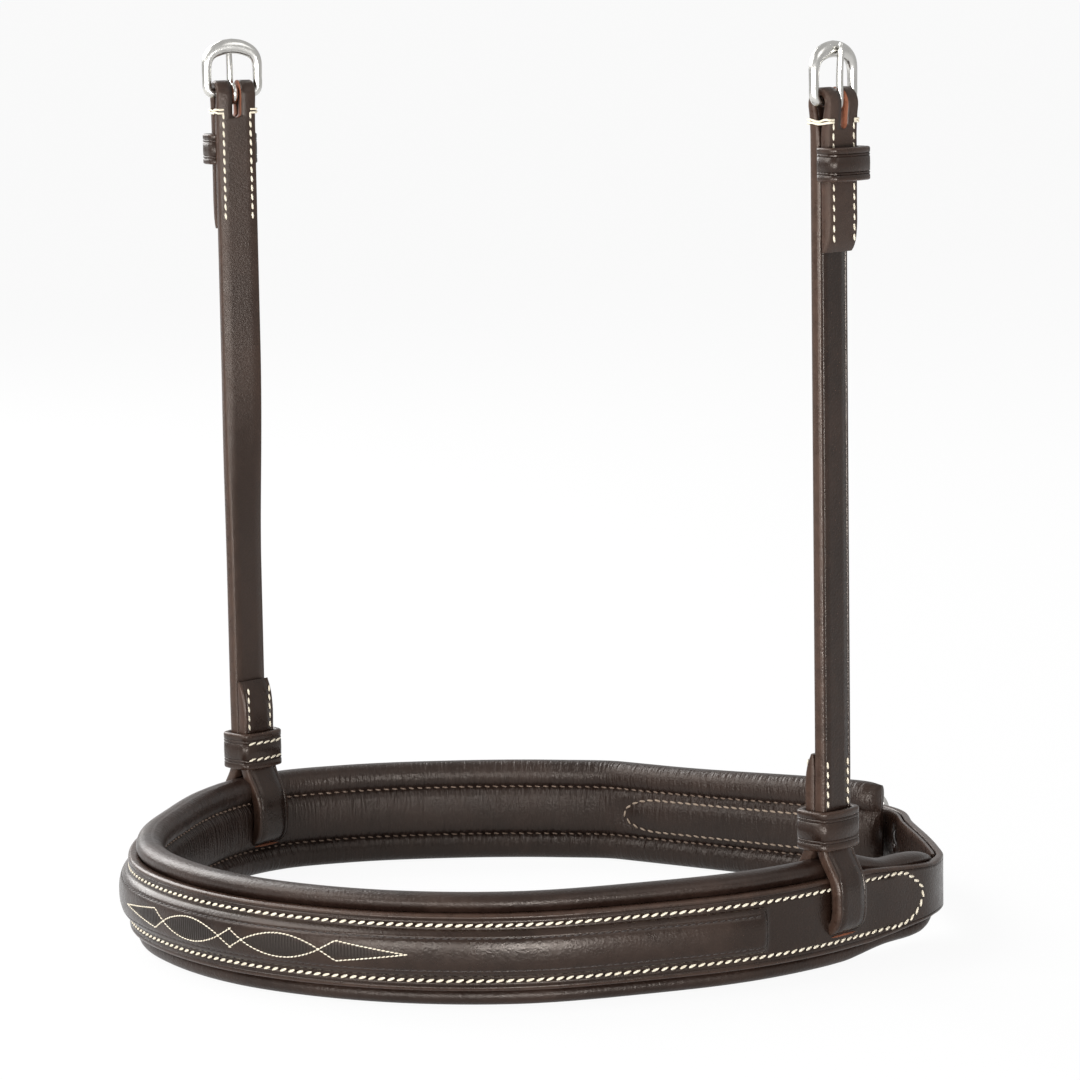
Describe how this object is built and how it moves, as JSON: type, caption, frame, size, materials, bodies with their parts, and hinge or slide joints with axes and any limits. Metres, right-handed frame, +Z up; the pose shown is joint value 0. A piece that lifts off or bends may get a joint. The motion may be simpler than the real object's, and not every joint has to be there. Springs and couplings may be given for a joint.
{
  "type": "bridle noseband",
  "caption": "Padded leather noseband ring with a raised centre, two upright buckled hangers with keepers, and a buckled jaw closure.",
  "frame": {"origin": "centre of the bounding box in plan, on the surface that the padding rests on", "axes": "+Z up along the hangers, -Y towards the nose, +Y towards the jaw closure, +X towards the right hanger"},
  "size_m": [0.2488, 0.2448, 0.267],
  "materials": {
    "strap_leather": "very dark brown bridle leather, waxed, with a soft sheen",
    "lining_leather": "soft dark brown leather with fine wrinkles",
    "foam": "dense felt or foam padding, hidden",
    "steel": "satin bright stainless steel"
  },
  "bodies": {
    "noseband": {"padding_lining": "lining_leather", "foam_core": "foam", "nose_strap": "strap_leather", "raised_core": "lining_leather", "billet_lining": "lining_leather", "buckle_chape": "strap_leather", "closure_keeper_near": "strap_leather", "closure_keeper_far": "strap_leather", "right_hanger_loop": "strap_leather", "left_hanger_loop": "strap_leather"},
    "jaw_frame": {"closure_buckle_frame": "steel"},
    "jaw_tongue": {"closure_buckle_tongue": "steel"},
    "right_hanger": {"right_hanger_strap": "strap_leather", "right_fixed_keeper": "strap_leather"},
    "right_keeper": {"right_sliding_keeper": "strap_leather"},
    "right_frame": {"right_buckle_frame": "steel"},
    "right_tongue": {"right_buckle_tongue": "steel"},
    "left_hanger": {"left_hanger_strap": "strap_leather", "left_fixed_keeper": "strap_leather"},
    "left_keeper": {"left_sliding_keeper": "strap_leather"},
    "left_frame": {"left_buckle_frame": "steel"},
    "left_tongue": {"left_buckle_tongue": "steel"}
  },
  "joints": [
    {"name": "right_hanger_swing", "type": "hinge", "parent": "noseband", "child": "right_hanger", "pos_m": [0.1129, 0.01345, 0.0334], "axis": [0, 1, 0], "range_deg": [-25, 35], "stiffness_Nm_per_rad": 0.4},
    {"name": "right_keeper_slide", "type": "slide", "parent": "right_hanger", "child": "right_keeper", "axis": [0, 0, 1], "range_m": [0, 0.16]},
    {"name": "right_buckle_pivot", "type": "hinge", "parent": "right_hanger", "child": "right_frame", "pos_m": [0.1167, 0.01345, 0.2498], "axis": [0, 1, 0], "range_deg": [-40, 60]},
    {"name": "right_tongue_pivot", "type": "hinge", "parent": "right_frame", "child": "right_tongue", "pos_m": [0.1167, 0.01345, 0.2498], "axis": [0, 1, 0], "range_deg": [0, 60]},
    {"name": "left_hanger_swing", "type": "hinge", "parent": "noseband", "child": "left_hanger", "pos_m": [-0.11085, -0.0072, 0.0334], "axis": [0, -1, 0], "range_deg": [-25, 35], "stiffness_Nm_per_rad": 0.4},
    {"name": "left_keeper_slide", "type": "slide", "parent": "left_hanger", "child": "left_keeper", "axis": [0, 0, 1], "range_m": [0, 0.052]},
    {"name": "left_buckle_pivot", "type": "hinge", "parent": "left_hanger", "child": "left_frame", "pos_m": [-0.11432, -0.00565, 0.2498], "axis": [-0.4067, -0.9135, 0], "range_deg": [-40, 60]},
    {"name": "left_tongue_pivot", "type": "hinge", "parent": "left_frame", "child": "left_tongue", "pos_m": [-0.11432, -0.00565, 0.2498], "axis": [-0.4067, -0.9135, 0], "range_deg": [0, 60]},
    {"name": "jaw_buckle_pivot", "type": "hinge", "parent": "noseband", "child": "jaw_frame", "pos_m": [0.03596, 0.10979, 0.016], "axis": [0, 0, 1], "range_deg": [0, 4]},
    {"name": "jaw_tongue_pivot", "type": "hinge", "parent": "jaw_frame", "child": "jaw_tongue", "pos_m": [0.03596, 0.10979, 0.016], "axis": [0, 0, 1], "range_deg": [0, 3]}
  ]
}
